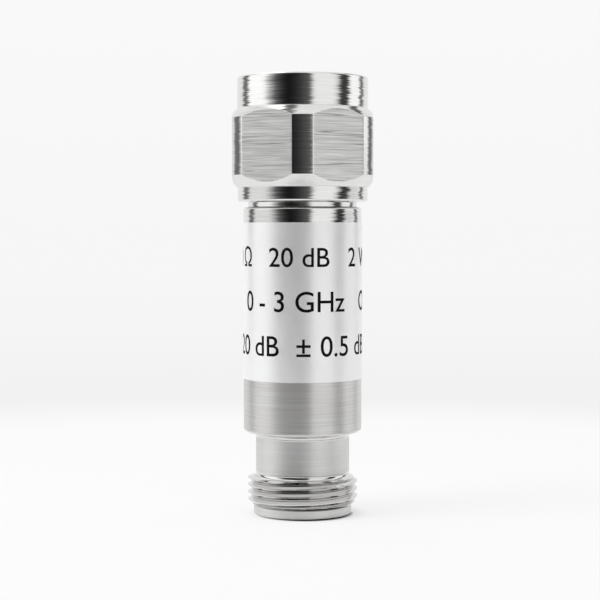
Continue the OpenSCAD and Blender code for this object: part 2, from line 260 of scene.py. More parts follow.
def lead_normals(mesh, widest):
    """Sets corner normals by the larger of the faces that meet there at less than the widest angle, so
    that a bevel leaves the faces beside it flat."""
    meeting = [[] for vertex in mesh.vertices]
    for face in mesh.polygons:
        for corner in face.vertices:
            meeting[corner].append(face.index)
    facing = [face.normal.copy() for face in mesh.polygons]
    pull = [face.normal * face.area / mm ** 2 for face in mesh.polygons]
    least = math.cos(widest)
    normals = []
    for face in mesh.polygons:
        for corner in face.vertices:
            near = [other for other in meeting[corner] if facing[face.index].dot(facing[other]) > least]
            normals.append(sum((pull[other] for other in near), Vector()).normalized())
    mesh.normals_split_custom_set(normals)


def make_piece(name, shell, materials, bevel, thread=None, thread_slot=0):
    """Object from a turned shell: breaks its edges, welds in its thread and sets smooth shading."""
    mesh = bpy.data.meshes.new(name)
    shell.to_mesh(mesh)
    shell.free()
    for material in materials:
        mesh.materials.append(material)
    piece = add_object(name, mesh)
    broken = piece.modifiers.new("broken edges", "BEVEL")
    broken.width = bevel
    broken.segments = 2
    broken.limit_method = "ANGLE"
    broken.angle_limit = bevel_from
    piece.data = plain_mesh(piece)
    piece.modifiers.clear()
    whole = bmesh.new()
    whole.from_mesh(piece.data)
    if thread:
        turned_faces = len(whole.faces)
        whole.from_mesh(thread)
        for face in whole.faces[:][turned_faces:]:
            face.material_index = thread_slot
    bmesh.ops.remove_doubles(whole, verts=whole.verts, dist=weld_dist)
    bmesh.ops.recalc_face_normals(whole, faces=whole.faces)
    for face in whole.faces:
        face.smooth = True
    whole.to_mesh(piece.data)
    whole.free()
    lead_normals(piece.data, smooth_under)
    return piece


def make_group(name, inputs, outputs):
    """Empty shader group with named sockets, and its input and output nodes."""
    group = bpy.data.node_groups.new(name, "ShaderNodeTree")
    for label, kind in inputs:
        group.interface.new_socket(label, in_out="INPUT", socket_type=kind)
    for label, kind in outputs:
        group.interface.new_socket(label, in_out="OUTPUT", socket_type=kind)
    return group, group.nodes.new("NodeGroupInput").outputs, group.nodes.new("NodeGroupOutput").inputs


def vector_step(tree, operation, first, second=None, scale=None):
    """Adds a Vector Math node and returns its output socket of the right kind."""
    node = tree.nodes.new("ShaderNodeVectorMath")
    node.operation = operation
    for socket, value in ((0, first), (1, second), ("Scale", scale)):
        if value is not None:
            feed(tree, node.inputs[socket], value)
    return node.outputs["Value" if operation in ("LENGTH", "DOT_PRODUCT") else "Vector"]


def object_place(tree):
    """Place in the object's own coordinates."""
    return tree.nodes.new("ShaderNodeTexCoord").outputs["Object"]


def add_noise(tree, place, scale, detail=2):
    """Adds a Noise texture at a place and returns its sockets."""
    node = tree.nodes.new("ShaderNodeTexNoise")
    for name, value in (("Vector", place), ("Scale", scale), ("Detail", detail)):
        feed(tree, node.inputs[name], value)
    return node.outputs


def make_lathe_lines():
    """Fine lines round the axis, with Breaks per mm along them. Wander tips each line sideways and
    Ripple along the axis. Scores is 1 on the few deeper lines between them."""
    names = ("Lines per mm", "Breaks per mm", "Radial share", "Wander", "Ripple")
    group, given, result = make_group(
        "lathe_lines", [(name, "NodeSocketFloat") for name in names],
        [("Tone", "NodeSocketFloat"), ("Scores", "NodeSocketFloat"), ("Normal", "NodeSocketVector")])
    link = group.links.new
    spot = split(group, object_place(group))
    spoke = join(group, X=spot["X"], Y=spot["Y"])
    radius = vector_step(group, "LENGTH", spoke)
    line = reckon(group, "MULTIPLY_ADD", radius, given["Radial share"], spot["Z"])
    line = reckon(group, "MULTIPLY", line, reckon(group, "DIVIDE", given["Lines per mm"], mm))
    drift = reckon(group, "DIVIDE", given["Breaks per mm"], mm)
    sample = join(group, X=reckon(group, "MULTIPLY", spot["X"], drift),
                  Y=reckon(group, "MULTIPLY", spot["Y"], drift), Z=line)
    shares = group.nodes.new("ShaderNodeSeparateColor")
    link(add_noise(group, sample, 1)["Color"], shares.inputs["Color"])
    facing = group.nodes.new("ShaderNodeNewGeometry").outputs["Normal"]
    sideways = vector_step(group, "NORMALIZE", vector_step(group, "CROSS_PRODUCT", (0, 0, 1), spoke))
    lengthwise = vector_step(group, "CROSS_PRODUCT", facing, sideways)
    tip = reckon(group, "MULTIPLY", reckon(group, "SUBTRACT", shares.outputs["Red"], 0.5), given["Wander"])
    nod = reckon(group, "MULTIPLY", reckon(group, "SUBTRACT", shares.outputs["Green"], 0.5), given["Ripple"])
    bent = vector_step(group, "ADD", facing, vector_step(group, "SCALE", sideways, scale=tip))
    bent = vector_step(group, "ADD", bent, vector_step(group, "SCALE", lengthwise, scale=nod))
    link(vector_step(group, "NORMALIZE", bent), result["Normal"])
    link(shares.outputs["Blue"], result["Tone"])
    score_scale = 0.1
    score_level = 0.56
    score_w = 0.018
    cuts = add_noise(group, sample, score_scale, 1)["Fac"]
    off_score = reckon(group, "ABSOLUTE", reckon(group, "SUBTRACT", cuts, score_level))
    link(grade(group, off_score, 0, score_w, 1, 0), result["Scores"])
    return group


def make_handling_marks():
    """Thin slanting hairlines in patches, as metal gets in a box of parts. Marks is 1 on a hairline."""
    group, given, result = make_group(
        "handling_marks",
        [("Marks per mm", "NodeSocketFloat"), ("Amount", "NodeSocketFloat")],
        [("Marks", "NodeSocketFloat")])
    along = 0.03 / mm
    hairline_w = 0.02
    patches_per_mm = 0.4
    patch_low, patch_high = 0.5, 0.66
    spot = object_place(group)
    hairlines = []
    for slant in (0.35, -0.5):
        turned = group.nodes.new("ShaderNodeMapping")
        turned.inputs["Rotation"].default_value = (slant, slant / 2, slant)
        turned.inputs["Scale"].default_value = (along, along, 1 / mm)
        group.links.new(spot, turned.inputs["Vector"])
        strokes = add_noise(group, turned.outputs["Vector"], given["Marks per mm"], 1)["Fac"]
        off_line = reckon(group, "ABSOLUTE", reckon(group, "SUBTRACT", strokes, 0.5))
        hairlines.append(grade(group, off_line, 0, hairline_w, 1, 0))
    patches = grade(group, add_noise(group, spot, patches_per_mm / mm)["Fac"], patch_low, patch_high)
    marks = reckon(group, "MULTIPLY", reckon(group, "MAXIMUM", *hairlines), patches)
    group.links.new(reckon(group, "MULTIPLY", marks, given["Amount"]), result["Marks"])
    return group


lathe_lines = make_lathe_lines()
handling_marks = make_handling_marks()


def place_group(tree, group, values):
    """Puts a shader group into a material with its own values."""
    node = tree.nodes.new("ShaderNodeGroup")
    node.node_tree = group
    for name, value in values.items():
        node.inputs[name].default_value = value
    return node.outputs


def new_material(name):
    """Material with a Principled shader, and that shader's sockets."""
    material = bpy.data.materials.new(name)
    material.use_nodes = True
    return material, material.node_tree, material.node_tree.nodes["Principled BSDF"].inputs


def blend_colours(tree, share, *colours):
    """Mixes two colours, each a socket or three numbers, by a share that varies over the surface."""
    mix = tree.nodes.new("ShaderNodeMix")
    mix.data_type = "RGBA"
    mix.clamp_factor = False
    tree.links.new(share, mix.inputs[0])
    for socket, colour in zip(mix.inputs[6:8], colours):
        feed(tree, socket, colour if isinstance(colour, bpy.types.NodeSocket) else (*colour, 1))
    return mix.outputs[2]


def spread(tree, share, low, high):
    """Maps a noise value, which stays near its middle, onto a range."""
    noise_low, noise_high = 0.3, 0.7
    return grade(tree, share, noise_low, noise_high, low, high)


def make_metal(name, deep, pale, smooth, rough, lines, wander, ripple, marks=0.5, radial=0.77, stretch=0.3,
               scored=0.1, breaks=0.11):
    """Machined metal: lathe lines in its colour, roughness and normal, scored lines and hairline marks.
    Stretch draws reflections out along the axis, as grooves round it do."""
    marks_per_mm = 3
    roughening = 0.2
    quarter_turn = 0.25
    material, tree, shader = new_material(name)
    turned = place_group(tree, lathe_lines, {"Lines per mm": lines, "Breaks per mm": breaks,
                                             "Radial share": radial, "Wander": wander, "Ripple": ripple})
    worn = place_group(tree, handling_marks, {"Marks per mm": marks_per_mm, "Amount": marks})
    depth = reckon(tree, "MULTIPLY", turned["Scores"], scored)
    tone = reckon(tree, "SUBTRACT", spread(tree, turned["Tone"], 0, 1), depth)
    tree.links.new(blend_colours(tree, tone, deep, pale), shader["Base Color"])
    bare = reckon(tree, "MULTIPLY_ADD", depth, roughening, spread(tree, turned["Tone"], smooth, rough))
    tree.links.new(reckon(tree, "MULTIPLY_ADD", worn["Marks"], roughening, bare), shader["Roughness"])
    tree.links.new(turned["Normal"], shader["Normal"])
    shader["Metallic"].default_value = 1
    shader["Anisotropic"].default_value = stretch
    shader["Anisotropic Rotation"].default_value = quarter_turn
    return material


barrel_steel = make_metal("satin_steel", (0.58, 0.575, 0.565), (0.73, 0.725, 0.715),
                          smooth=0.34, rough=0.42, lines=9, wander=0.1, ripple=0.22, stretch=0.85)
shank_steel = make_metal("fine_satin_steel", (0.7, 0.695, 0.688), (0.8, 0.795, 0.788),
                         smooth=0.42, rough=0.48, lines=14, wander=0.06, ripple=0.12, stretch=0.2)
fresh_cut = {"deep": (0.64, 0.636, 0.628), "pale": (0.75, 0.746, 0.738), "smooth": 0.04, "rough": 0.07,
             "lines": 9, "wander": 0.05, "ripple": 0.04}
shoulder_steel = make_metal("cut_shoulder_steel", **fresh_cut)
thread_steel = make_metal("cut_thread_steel", **fresh_cut)


def paint_corner_shade(material, radius, height, depth, least):
    """Darkens a metal inwards of a radius and below a height to the least share of its colour: painted shade
    in a corner that light reaches less."""
    tree = material.node_tree
    colour = tree.nodes["Principled BSDF"].inputs["Base Color"]
    clean = colour.links[0].from_socket
    spot = object_place(tree)
    spoke = vector_step(tree, "LENGTH", vector_step(tree, "MULTIPLY", spot, (1, 1, 0)))
    rise = vector_step(tree, "DOT_PRODUCT", spot, (0, 0, 1))
    outside = grade(tree, spoke, radius - depth, radius, least, 1)
    above = grade(tree, rise, height - depth, height, least, 1)
    share = reckon(tree, "MAXIMUM", outside, above)
    tree.links.new(vector_step(tree, "SCALE", clean, scale=share), colour)


# Painted shade: the thread is darkened towards the root of each groove, where the thread shades itself.
paint_corner_shade(thread_steel, thread_r - thread_depth + root_shade_depth, thread_mid + thread_flat / 2, root_shade_depth,
            root_shade_share)
quarter_step = 15
quarter = [math.radians(turn) for turn in range(0, 91, quarter_step)]


def round_edge(radius, height, size):
    """Points of a rounded lower edge, from its flat underside out and up to its side."""
    return [(radius - size + size * math.sin(turn), height + size - size * math.cos(turn))
            for turn in quarter]


fillet = [(shank_r + shank_fillet - shank_fillet * math.cos(turn),
           shoulder_z - shank_fillet + shank_fillet * math.sin(turn)) for turn in quarter]
barrel_outline = [
    (shank_r, thread_high), *fillet, *round_edge(barrel_r, shoulder_z, shoulder_round),
    (barrel_r, barrel_top), (spigot_r + slip, barrel_top), (spigot_r + slip, spigot_bore_z),
    (core_bore_r, spigot_bore_z), (core_bore_r, bead_high.z), (bead_seat_r, bead_high.z),
    (bead_seat_r, bead_low.z), (line_r, bead_low.z), (line_r, jack_bore_top), (jack_bore_r, jack_bore_top),
    (jack_bore_r, mouth_edge), (jack_bore_r + mouth_edge, 0), *round_edge(rim_r, 0, rim_round),
    (rim_r, thread_low)]
barrel_shell = bmesh.new()
barrel_strips = skin(barrel_shell, turned_rings(barrel_outline))
barrel_finishes = [barrel_steel, shank_steel, thread_steel, shoulder_steel]
finished_strips = [(shank_steel, barrel_strips[:1] + barrel_strips[-len(quarter):]),
                   (shoulder_steel, barrel_strips[1:2 * len(quarter) - 1])]
for finish, strips in finished_strips:
    for face in sum(strips, []):
        face.material_index = barrel_finishes.index(finish)
jack_thread = cut_thread(
    "jack_thread", thread_steel, thread_rows, side=1.0, start=thread_start, pitch=thread_pitch,
    crest_radius=thread_r, root_radius=thread_r - thread_depth, crest_share=thread_crest_share,
    root_share=thread_root_share, low=thread_low, high=thread_high, low_radius=rim_r, high_radius=shank_r,
    high_run=thread_back + shank_foot, high_rise=thread_r - shank_r, high_power=run_out_power)
barrel = make_piece("turned_barrel", barrel_shell, barrel_finishes, barrel_bevel, jack_thread,
                    thread_slot=barrel_finishes.index(thread_steel))
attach(barrel, "fixed_body")
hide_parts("barrel")


# Insulating beads
# Two rings of white fluoroplastic, turned from rod. Each snaps into the groove of a centre conductor
# and holds it in the middle of the line.
def dress(node, material):
    """Gives a CAD node its finish."""
    frame["nodes"][node].material_slots[0].material = material


bead_white, tree, shader = new_material("white_fluoroplastic")
turned = place_group(tree, lathe_lines, {"Lines per mm": 5, "Breaks per mm": 0.11, "Radial share": 0.77,
                                         "Wander": 0.05, "Ripple": 0.25})
cloud = spread(tree, add_noise(tree, object_place(tree), scale=0.9 / mm, detail=3)["Fac"], 0, 1)
tree.links.new(blend_colours(tree, cloud, (0.8, 0.8, 0.77), (0.89, 0.89, 0.87)), shader["Base Color"])
tree.links.new(spread(tree, turned["Tone"], 0.35, 0.5), shader["Roughness"])
tree.links.new(turned["Normal"], shader["Normal"])
shader["Subsurface Weight"].default_value = 0.15
shader["Subsurface Scale"].default_value = 0.4 * mm
dress("jack_bead", bead_white)
dress("plug_bead", bead_white)


# Centre conductors
# The jack's slotted socket and the plug's pin, turned from copper alloy and plated with gold.
# Each carries its bead in a groove and ends in a flat land for its ribbon.
gold = make_metal("gold_plating", (0.78, 0.53, 0.17), (0.93, 0.69, 0.3),
                  smooth=0.16, rough=0.26, lines=8, wander=0.08, ripple=0.3)
dress("jack_contact", gold)
dress("centre_pin", gold)


# Attenuator chip
# A slip of fired ceramic with a dark resistive film across its middle and silver ends, printed on
# the face towards the ribbons.
chip_low, chip_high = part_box("attenuator_chip")
chip_mid = (chip_low + chip_high) / 2
film_w = 3.4 * mm
film_len = 4.6 * mm
silver_len = 1.6 * mm
chip_ceramic, tree, shader = new_material("chip_ceramic")
chip_place = object_place(tree)
spot = split(tree, chip_place)
grain = add_noise(tree, chip_place, scale=3 / mm, detail=4)["Fac"]
from_mid = reckon(tree, "ABSOLUTE", reckon(tree, "SUBTRACT", spot["Z"], chip_mid.z))
in_width = reckon(tree, "LESS_THAN", reckon(tree, "ABSOLUTE", spot["X"]), film_w / 2)
on_face = reckon(tree, "MULTIPLY", in_width, reckon(tree, "LESS_THAN", spot["Y"], chip_low.y + slip))
film = reckon(tree, "MULTIPLY", reckon(tree, "LESS_THAN", from_mid, film_len / 2), on_face)
silver = reckon(tree, "GREATER_THAN", from_mid, (chip_high.z - chip_low.z) / 2 - silver_len)
silver = reckon(tree, "MULTIPLY", silver, on_face)
chip_colour = blend_colours(tree, spread(tree, grain, 0, 1), (0.76, 0.74, 0.68), (0.87, 0.85, 0.79))
chip_colour = blend_colours(tree, film, chip_colour, (0.035, 0.03, 0.028))
chip_colour = blend_colours(tree, silver, chip_colour, (0.72, 0.71, 0.68))
tree.links.new(chip_colour, shader["Base Color"])
tree.links.new(silver, shader["Metallic"])
tree.links.new(spread(tree, grain, 0.4, 0.6), shader["Roughness"])
dress("attenuator_chip", chip_ceramic)


# Chip carrier
# Two half rounds of brass, milled with a channel over the film and a pocket that clamps the chip's
# long edges.
brass = make_metal("milled_brass", (0.62, 0.43, 0.15), (0.8, 0.6, 0.27),
                   smooth=0.24, rough=0.36, lines=4, wander=0.1, ripple=0.3, marks=0.8)
dress("chip_carrier_front", brass)
dress("chip_carrier_back", brass)


# Ribbons
# Thin strips cut from silver foil, soldered from the chip's silver ends to the lands of the centre
# conductors.
ribbon_silver = make_metal("ribbon_silver", (0.66, 0.65, 0.63), (0.86, 0.85, 0.82),
                           smooth=0.22, rough=0.4, lines=12, wander=0.1, ripple=0.3, radial=0.3)
dress("plug_tab", ribbon_silver)
dress("jack_tab", ribbon_silver)


# Disc spring
# A coned washer, stamped from spring steel, hardened and blued. It sits on the chip carrier and pushes
# the line sleeve up, which keeps the stack together.
blued_steel = make_metal("blued_spring_steel", (0.19, 0.2, 0.24), (0.31, 0.32, 0.36),
                         smooth=0.28, rough=0.44, lines=5, wander=0.1, ripple=0.3)
dress("disc_spring", blued_steel)


# Outer line
# The line sleeve and the slotted outer contact, turned from copper alloy and plated with white bronze.
# The contact's four fingers spring against the bore of the mating jack.
white_bronze = make_metal("white_bronze", (0.56, 0.54, 0.49), (0.73, 0.71, 0.65),
                          smooth=0.2, rough=0.3, lines=7, wander=0.08, ripple=0.35)
dress("line_sleeve", white_bronze)
dress("outer_contact", white_bronze)


# Plug body
# Turned from steel bar and left bright. Its spigot is pressed into the barrel, its flange closes the
# barrel's end, and the nut turns on its journal, held by a ring in the groove.
body_low, body_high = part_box("plug_body")
ring_low, ring_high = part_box("snap_ring")
flange_top = 44.15 * mm
flange_edge = 0.25 * mm
neck_shade_depth = 0.18 * mm
neck_shade_share = 0.15
neck_r = 7.85 * mm
neck_top = 44.9 * mm
journal_r = 6.5 * mm
ring_room = 0.1 * mm
ring_groove_r = 5.8 * mm
wall_z = 49.8 * mm
wall_bore_r = 4.22 * mm
body_bevel = 0.05 * mm
bright_turned = {"deep": (0.74, 0.735, 0.728), "pale": (0.82, 0.816, 0.808), "smooth": 0.09, "rough": 0.15,
                 "lines": 12, "wander": 0.26, "ripple": 0.08}
body_steel = make_metal("bright_body_steel", **bright_turned)
# Painted shade: a thin dark line on the flange's top and the foot of the neck, in the shaded corner.
paint_corner_shade(body_steel, barrel_r - flange_edge + neck_shade_depth, flange_top + neck_shade_depth, neck_shade_depth,
            neck_shade_share)
body_outline = [
    (bead_seat_r, body_low.z), (spigot_r, body_low.z), (spigot_r, barrel_top), (barrel_r, barrel_top),
    (barrel_r, flange_top - flange_edge), (barrel_r - flange_edge, flange_top), (neck_r, flange_top),
    (neck_r, neck_top), (journal_r, neck_top), (journal_r, ring_low.z - ring_room),
    (ring_groove_r, ring_low.z - ring_room), (ring_groove_r, ring_high.z + ring_room),
    (journal_r, ring_high.z + ring_room), (journal_r, body_high.z), (wall_bore_r, body_high.z),
    (wall_bore_r, wall_z), (bead_seat_r, wall_z)]
body_shell = bmesh.new()
skin(body_shell, turned_rings(body_outline), closed=True)
plug_body = make_piece("turned_plug_body", body_shell, [body_steel], body_bevel)
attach(plug_body, "fixed_body")
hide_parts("plug_body")


# Gasket
# A flat ring moulded of red silicone rubber, which lies loose on the plug body's front wall and seals
# against the rim of the mating jack.
def mottle(tree, shader, share, deep, pale, smooth, rough):
    """Varies a surface's colour and roughness by a noise value."""
    tree.links.new(blend_colours(tree, spread(tree, share, 0, 1), deep, pale), shader["Base Color"])
    tree.links.new(spread(tree, share, smooth, rough), shader["Roughness"])


def emboss(tree, shader, height, distance, strength=1):
    """Bumps a surface by a noise value."""
    bump = tree.nodes.new("ShaderNodeBump")
    bump.inputs["Strength"].default_value = strength
    bump.inputs["Distance"].default_value = distance
    tree.links.new(height, bump.inputs["Height"])
    tree.links.new(bump.outputs["Normal"], shader["Normal"])


gasket_red, tree, shader = new_material("gasket_red_rubber")
gasket_place = object_place(tree)
bloom = add_noise(tree, gasket_place, scale=0.8 / mm, detail=5)["Fac"]
pores = add_noise(tree, gasket_place, scale=9 / mm)["Fac"]
mottle(tree, shader, bloom, (0.36, 0.05, 0.035), (0.47, 0.085, 0.06), smooth=0.55, rough=0.72)
emboss(tree, shader, pores, distance=0.02 * mm)
dress("face_gasket", gasket_red)


# Snap ring
# A split ring bent from drawn bronze wire. It sits half in the plug body's groove and half in the
# nut's, so that the nut turns and stays on.
bronze = make_metal("drawn_bronze", (0.46, 0.29, 0.12), (0.64, 0.43, 0.2),
                    smooth=0.26, rough=0.4, lines=6, wander=0.1, ripple=0.3)
dress("snap_ring", bronze)


# Coupling nut
# Turned from hexagon bar: a round collar at each end, cones that break the hexagon's ends and its
# corners turned down to round strips. The six flats keep the drawn bar's brushed skin.
nut_low, nut_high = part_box("coupling_nut")
flat_r = nut_high.x
corner_r = 10.8 * mm
cone_r = 9.55 * mm
rear_r = 9.35 * mm
front_r = 9.4 * mm
hex_low = nut_low.z + 2.05 * mm
hex_top = nut_high.z - 4.55 * mm
rear_cone = 1.6 * mm
front_cone = 1.4 * mm
nut_edge = 0.2 * mm
nut_bore_r = 6.55 * mm
nut_groove_r = 7.05 * mm
nut_floor = 49.4 * mm
relief_r = 8.0 * mm
relief_len = 0.9 * mm
nut_crest_r = 7.375 * mm
nut_root_r = 7.93 * mm
nut_crest_share = 0.25
nut_root_share = 0.125
nut_thread_start = 0.3
nut_thread_rows = 16
nut_bevel = 0.07 * mm
mouth_r = nut_crest_r + 0.6 * mm
flat_half = math.acos(flat_r / corner_r)
sector = math.radians(60)
columns = []
for step in range(around):
    turn = math.tau * step / around
    facing = sector * round(turn / sector)
    off = turn - facing
    if abs(abs(off) - flat_half) < math.pi / around:
        off = math.copysign(flat_half, off)
    columns.append((facing + off, off))


def hexagon_ring(cone_end, cone_length):
    """Points where a cone meets the flats and the round corners, from the cone's small end."""
    points = []
    for turn, off in columns:
        radius = min(flat_r / math.cos(off), corner_r)
        height = cone_end + cone_length * (radius - cone_r) / (corner_r - cone_r)
        points.append(Vector((radius * math.cos(turn), radius * math.sin(turn), height)))
    return points


def cone_ring(height):
    """Points of a cone's small end, in line with the hexagon's columns."""
    return [Vector((cone_r * math.cos(turn), cone_r * math.sin(turn), height)) for turn, off in columns]


bright_steel = make_metal("bright_turned_steel", **bright_turned)
brushed_steel = make_metal("brushed_flats", (0.6, 0.598, 0.59), (0.97, 0.967, 0.958),
                           smooth=0.3, rough=0.42, lines=10, wander=0.2, ripple=0.24,
                           marks=1, radial=0, scored=1.1, breaks=0.2)
corner_steel = make_metal("turned_corners", (0.72, 0.716, 0.708), (0.8, 0.796, 0.788),
                          smooth=0.1, rough=0.15, lines=6, wander=0.1, ripple=0.06)
nut_inside = [
    (relief_r, nut_floor + relief_len), (relief_r, nut_floor), (nut_bore_r, nut_floor),
    (nut_bore_r, ring_high.z + ring_room), (nut_groove_r, ring_high.z + ring_room),
    (nut_groove_r, ring_low.z - ring_room), (nut_bore_r, ring_low.z - ring_room),
    (nut_bore_r, nut_low.z + nut_edge), (nut_bore_r + nut_edge, nut_low.z)]
rear_collar = [(rear_r - nut_edge, nut_low.z), (rear_r, nut_low.z + nut_edge), (rear_r, hex_low)]
front_collar = [(front_r, hex_top), (front_r, nut_high.z - nut_edge), (front_r - nut_edge, nut_high.z),
                (mouth_r, nut_high.z)]
nut_shell = bmesh.new()
nut_strips = skin(nut_shell, [
    *turned_rings(nut_inside + rear_collar), cone_ring(hex_low), hexagon_ring(hex_low, rear_cone),
    hexagon_ring(hex_top, -front_cone), cone_ring(hex_top), *turned_rings(front_collar)])
nut_finishes = [bright_steel, brushed_steel, corner_steel]
flats_strip = nut_strips[len(nut_inside) + len(rear_collar) + 1]
for i, face in enumerate(flats_strip):
    near, far = columns[i][1], columns[(i + 1) % around][1]
    on_flat = abs(near - far) < sector / 2 and abs((near + far) / 2) < flat_half
    face.material_index = nut_finishes.index(brushed_steel if on_flat else corner_steel)
nut_thread = cut_thread(
    "nut_thread", bright_steel, nut_thread_rows, side=-1.0, start=nut_thread_start, pitch=thread_pitch,
    crest_radius=nut_crest_r, root_radius=nut_root_r, crest_share=nut_crest_share, root_share=nut_root_share,
    low=nut_floor + relief_len, high=nut_high.z, low_radius=relief_r, high_radius=mouth_r,
    high_run=mouth_r - nut_crest_r, high_rise=mouth_r - nut_crest_r, high_power=1.0)
nut = make_piece("hexagon_nut", nut_shell, nut_finishes, nut_bevel, nut_thread)
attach(nut, "nut")
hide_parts("coupling_nut")


# Label
# A band of silvery satin film with adhesive on its back, wrapped once round the barrel and a little
# of the flange. Its ends leave a narrow seam at the back.
label_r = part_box("wrap_label")[1].x
label_film, tree, shader = new_material("silver_film")
label_place = object_place(tree)
haze = add_noise(tree, label_place, scale=0.35 / mm, detail=4)["Fac"]
tooth = add_noise(tree, label_place, scale=14 / mm)["Fac"]
mottle(tree, shader, haze, (0.93, 0.933, 0.936), (0.97, 0.97, 0.97), smooth=0.28, rough=0.34)
emboss(tree, shader, tooth, distance=0.01 * mm, strength=0.3)
shader["Metallic"].default_value = 0.45
dress("wrap_label", label_film)


# Print on the label
# Three lines of plain ratings in black ink, set level round the barrel. The ink stands about a
# hundredth of a millimetre proud of the film.
cap_height = 2.85 * mm
ink_low = 0.015 * mm
ink_high = 0.012 * mm
slice_w = 0.3 * mm
cut_tolerance = 1e-8
stroke_gain = 0.004
print_lines = [("50 Ω   20 dB   2 W", 35.8 * mm, -1.0 * mm),
               ("IN   0 - 3 GHz   OUT", 29.5 * mm, 0.5 * mm),
               ("20 dB  ± 0.5 dB", 23.25 * mm, 0.0 * mm)]
ink, tree, shader = new_material("black_ink")
dots = add_noise(tree, object_place(tree), scale=6 / mm, detail=3)["Fac"]
mottle(tree, shader, dots, (0.003, 0.003, 0.003), (0.012, 0.012, 0.013), smooth=0.4, rough=0.55)
shader["Specular IOR Level"].default_value = 0.03


def print_line(name, words, baseline, shift):
    """Lettering bent round the label, centred on the front and moved sideways by shift."""
    curve = bpy.data.curves.new(name, "FONT")
    curve.body = words
    curve.align_x = "CENTER"
    curve.size = 1
    curve.resolution_u = 6
    curve.offset = stroke_gain
    letters = add_object(name, curve)
    flat = plain_mesh(letters)
    bpy.data.objects.remove(letters)
    scale = cap_height / max(vertex.co.y for vertex in flat.vertices)
    sheet = bmesh.new()
    sheet.from_mesh(flat)
    for vertex in sheet.verts:
        vertex.co *= scale
    bmesh.ops.remove_doubles(sheet, verts=sheet.verts, dist=weld_dist)
    reach = max(abs(vertex.co.x) for vertex in sheet.verts)
    for cut in range(-int(reach / slice_w), int(reach / slice_w) + 1):
        parts = sheet.verts[:] + sheet.edges[:] + sheet.faces[:]
        bmesh.ops.bisect_plane(sheet, geom=parts, dist=cut_tolerance, plane_co=(cut * slice_w, 0, 0),
                               plane_no=(1, 0, 0))
    bmesh.ops.remove_doubles(sheet, verts=sheet.verts, dist=weld_dist)
    raised = bmesh.ops.extrude_face_region(sheet, geom=sheet.faces[:])["geom"]
    top = {item for item in raised if isinstance(item, bmesh.types.BMVert)}
    for vertex in sheet.verts:
        radius = label_r + ink_high if vertex in top else label_r - ink_low
        turn = (vertex.co.x + shift) / label_r - math.pi / 2
        height = baseline + vertex.co.y
        vertex.co = (radius * math.cos(turn), radius * math.sin(turn), height)
    bmesh.ops.recalc_face_normals(sheet, faces=sheet.faces)
    mesh = bpy.data.meshes.new(name)
    sheet.to_mesh(mesh)
    sheet.free()
    mesh.materials.append(ink)
    return add_object(name, mesh)


for row, (words, baseline, shift) in enumerate(print_lines):
    lettering = print_line(f"label_print_{row + 1}", words, baseline, shift)
    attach(lettering, "fixed_body")


# Table
# A white table top under the part, which fades into a pale backdrop a hand's breadth behind it.
table_r = 1.2
table_w = 0.9
table_front = 0.1
painted_shadow_mid = (0.3 * mm, -0.8 * mm, 0)
painted_shadow_in = 0.75 * mm
painted_shadow_out = 0.08 * mm
horizon = (0.925, 0.925, 0.93)
table_tones = [(0.095, 0.955), (0.135, 0.885), (0.35, 0.91), (1.0, horizon)]
glow_shares = [(0.0059, 0), (0.0066, 0.74), (0.0095, 0.82), (0.021, 0.84), (0.14, 1)]


def bare_material(name):
    """Material without nodes, and its tree."""
    material, tree, shader = new_material(name)
    tree.nodes.clear()
    return material, tree


def add_ramp(tree, value, stops):
    """Adds a Color Ramp through stops of a place and a grey level or a colour."""
    node = tree.nodes.new("ShaderNodeValToRGB")
    tree.links.new(value, node.inputs["Fac"])
    marks = node.color_ramp.elements
    marks[0].position, marks[1].position = stops[0][0], stops[-1][0]
    for place, level in stops[1:-1]:
        marks.new(place)
    for mark, (place, level) in zip(marks, stops):
        colour = level if isinstance(level, tuple) else (level, level, level)
        mark.color = (*colour, 1)
    return node.outputs["Color"]


def mix_surface(tree, share, under, over):
    """Mixes two shaders by a share and makes them the material's surface."""
    mix = tree.nodes.new("ShaderNodeMixShader")
    for socket, value in zip(mix.inputs, (share, under, over)):
        tree.links.new(value, socket)
    tree.links.new(mix.outputs["Shader"], tree.nodes.new("ShaderNodeOutputMaterial").inputs["Surface"])


table_mesh = bpy.data.meshes.new("table")
table_mesh.from_pydata([(-table_w, -table_front, 0), (table_w, -table_front, 0), (table_w, table_r, 0),
                        (-table_w, table_r, 0)], [], [(0, 1, 2, 3)])
table_top = add_object("table", table_mesh)
table_white, tree = bare_material("table_white")
table_place = object_place(tree)
away = reckon(tree, "DIVIDE", vector_step(tree, "LENGTH", table_place), table_r)
# Painted shadow: the table's colour, also where it glows, darkens in a ring round the part's foot, centred a
# little to the right and front.
under = vector_step(tree, "LENGTH", vector_step(tree, "SUBTRACT", table_place, painted_shadow_mid))
painted_contact_shade = grade(tree, under, rim_r - painted_shadow_in, rim_r + painted_shadow_out)
tones_with_painted_shadow = vector_step(tree, "SCALE", add_ramp(tree, away, table_tones), scale=painted_contact_shade)
cloth = tree.nodes.new("ShaderNodeBsdfDiffuse")
sheen = tree.nodes.new("ShaderNodeEmission")
tree.links.new(tones_with_painted_shadow, cloth.inputs["Color"])
tree.links.new(tones_with_painted_shadow, sheen.inputs["Color"])
path = tree.nodes.new("ShaderNodeLightPath").outputs
seen = reckon(tree, "MAXIMUM", path["Is Camera Ray"], path["Is Glossy Ray"])
seen = reckon(tree, "MAXIMUM", seen, path["Is Transmission Ray"])
glow = reckon(tree, "MULTIPLY", seen, add_ramp(tree, away, glow_shares))
mix_surface(tree, glow, cloth.outputs["BSDF"], sheen.outputs["Emission"])
table_mesh.materials.append(table_white)


# Black card
# A low curved card close in front of the thread, as is set beside bright metal to give it dark lines.
# It shows in reflections alone.
card_r = 22 * mm
card_low, card_high = 0.8 * mm, 4.0 * mm
card_step = 2
card_cover = [(-80, 0), (-36, 1), (8, 1), (24, 0.5), (90, 0.5), (124, 0)]


